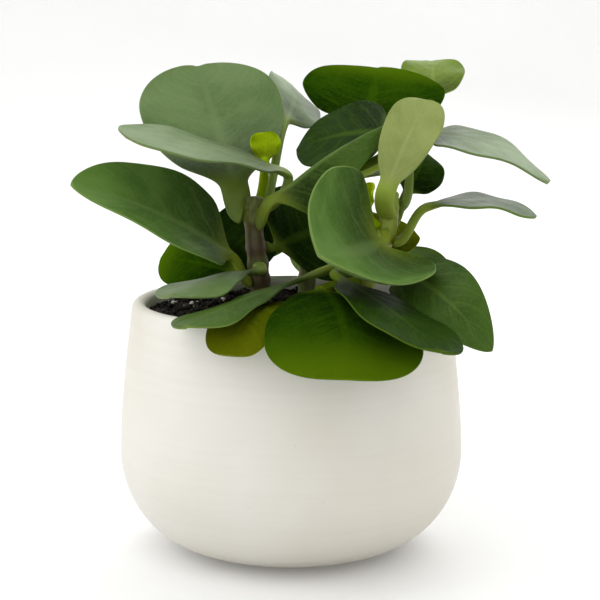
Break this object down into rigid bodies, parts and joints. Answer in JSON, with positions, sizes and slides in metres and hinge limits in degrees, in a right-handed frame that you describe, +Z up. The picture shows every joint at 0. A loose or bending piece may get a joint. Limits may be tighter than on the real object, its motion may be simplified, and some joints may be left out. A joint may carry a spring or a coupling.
{
  "type": "potted peperomia",
  "caption": "Small house plant with fleshy oval leaves on short stems, standing in soil in a round matte white pot.",
  "frame": {"origin": "centre of the pot's flat base, on the surface that the pot stands on", "axes": "+Z up along the pot's axis, -Y towards the side that the picture shows, +X to the right of that view"},
  "size_m": [0.1619, 0.1703, 0.1673],
  "materials": {
    "ceramic": "matte",
    "soil": "matte",
    "stem": "satin",
    "leaf": "satin"
  },
  "bodies": {
    "root": {"pot": "ceramic", "soil": "soil", "stem_left": "stem", "stem_right": "stem", "stem_back": "stem", "leaf_left_broad": "leaf", "leaf_left_upright": "leaf", "leaf_left_silver": "leaf", "leaf_left_bud": "leaf", "leaf_left_low": "leaf", "leaf_front_left": "leaf", "leaf_centre": "leaf", "leaf_centre_low": "leaf", "leaf_front_edge": "leaf", "leaf_front_olive": "leaf", "leaf_front_broad": "leaf", "leaf_front_right": "leaf", "leaf_right_broad": "leaf", "leaf_curled": "leaf", "leaf_right_pale": "leaf", "leaf_right_shaded": "leaf", "leaf_right_long": "leaf", "leaf_right_thin": "leaf", "leaf_right_behind": "leaf", "leaf_right_small": "leaf", "leaf_right_bud": "leaf", "leaf_top_dark": "leaf", "leaf_top_young": "leaf", "leaf_top_left": "leaf", "leaf_back_left": "leaf", "leaf_back_right": "leaf", "leaf_back_high": "leaf", "leaf_back_low_left": "leaf", "leaf_back_low_right": "leaf"}
  },
  "joints": []
}
